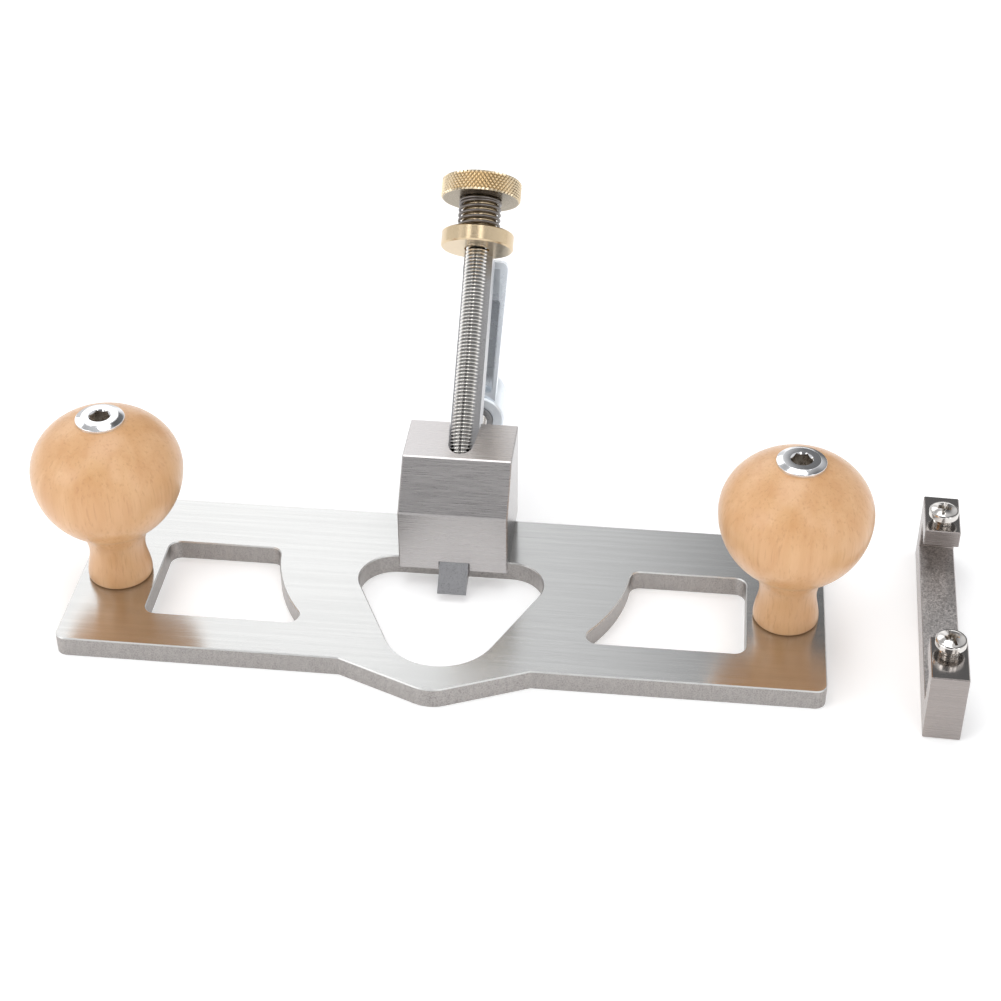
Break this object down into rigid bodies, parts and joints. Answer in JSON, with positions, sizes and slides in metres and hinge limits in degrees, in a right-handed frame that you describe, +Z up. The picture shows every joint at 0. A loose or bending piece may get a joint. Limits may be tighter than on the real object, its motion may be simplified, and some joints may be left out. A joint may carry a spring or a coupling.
{
  "type": "router plane",
  "caption": "Hand router plane: open flat sole with two turned knobs, leaning square cutter on a screw adjuster, rear clamp lever and a clip-on fence.",
  "frame": {"origin": "on the sole, under the middle of the head block", "axes": "+X along the plate to the right, +Y to the rear where the head block and clamp lever are, +Z up from the sole"},
  "size_m": [0.2488, 0.1286, 0.0961],
  "materials": {
    "plate_steel": "long-grain brushed stainless steel",
    "block_steel": "brushed stainless steel, edges broken",
    "fastener_steel": "plain machined steel",
    "knob_maple": "light maple, satin lacquer",
    "bolt_chrome": "polished nickel plate",
    "screw_steel": "bright rolled thread",
    "cutter_steel": "ground tool steel, darker near the edge",
    "brass": "satin turned brass, knurled grip",
    "spring_steel": "dark drawn spring wire",
    "lever_zinc": "satin nickel-plated die casting",
    "fence_steel": "milled steel with brushed ends",
    "pan_screw_chrome": "polished plated screw"
  },
  "bodies": {
    "root": {"base_plate": "plate_steel", "head_block": "block_steel", "block_screws": "fastener_steel", "left_knob": "knob_maple", "right_knob": "knob_maple", "left_knob_bolt": "bolt_chrome", "right_knob_bolt": "bolt_chrome", "depth_screw": "screw_steel"},
    "cutter_carriage": {"cutter": "cutter_steel", "cutter_flange": "brass", "flange_pins": "fastener_steel", "swivel_pins": "fastener_steel", "adjuster_spring": "spring_steel"},
    "adjuster": {"adjuster_knob": "brass"},
    "pressure_pad": {"clamp_pad": "brass"},
    "clamp_spindle": {"clamp_stud": "screw_steel", "lever_insert": "fastener_steel", "lever_screw": "fastener_steel", "lever_spring": "spring_steel"},
    "clamp_handle": {"clamp_lever": "lever_zinc"},
    "fence": {"fence_body": "fence_steel"},
    "fence_screw_a": {"fence_screw_front": "pan_screw_chrome"},
    "fence_screw_b": {"fence_screw_rear": "pan_screw_chrome"}
  },
  "joints": [
    {"name": "cutter_slide", "type": "slide", "parent": "root", "child": "cutter_carriage", "axis": [0, 0.7071, 0.7071], "range_m": [-0.032, 0.001]},
    {"name": "adjuster_turn", "type": "hinge", "parent": "cutter_carriage", "child": "adjuster", "pos_m": [0.0003, 0.0041, 0.0358], "axis": [0, 0.7071, 0.7071], "range_deg": [-11520, 360]},
    {"name": "pad_slide", "type": "slide", "parent": "root", "child": "pressure_pad", "axis": [0, 1, 0], "range_m": [0, 0.000306]},
    {"name": "lever_turn", "type": "hinge", "parent": "pressure_pad", "child": "clamp_spindle", "pos_m": [0.0003, 0.0405, 0.0193], "axis": [0, 1, 0], "range_deg": [0, 110]},
    {"name": "lever_lift", "type": "slide", "parent": "clamp_spindle", "child": "clamp_handle", "axis": [0, 1, 0], "range_m": [0, 0.0025], "stiffness_N_per_m": 300, "deforming": ["lever_spring"]},
    {"name": "fence_slide", "type": "slide", "parent": "root", "child": "fence", "axis": [1, 0, 0], "range_m": [-0.02, 0.06]},
    {"name": "fence_screw_a_travel", "type": "slide", "parent": "fence", "child": "fence_screw_a", "axis": [0, 0, 1], "range_m": [-0.0015, 0.006]},
    {"name": "fence_screw_b_travel", "type": "slide", "parent": "fence", "child": "fence_screw_b", "axis": [0, 0, 1], "range_m": [-0.0015, 0.006]}
  ],
  "couplings": [
    {"joint": "adjuster_turn", "follows": "cutter_slide", "rad_per_m": 6283.2},
    {"joint": "pad_slide", "follows": "lever_turn", "m_per_rad": 0.00015915}
  ]
}
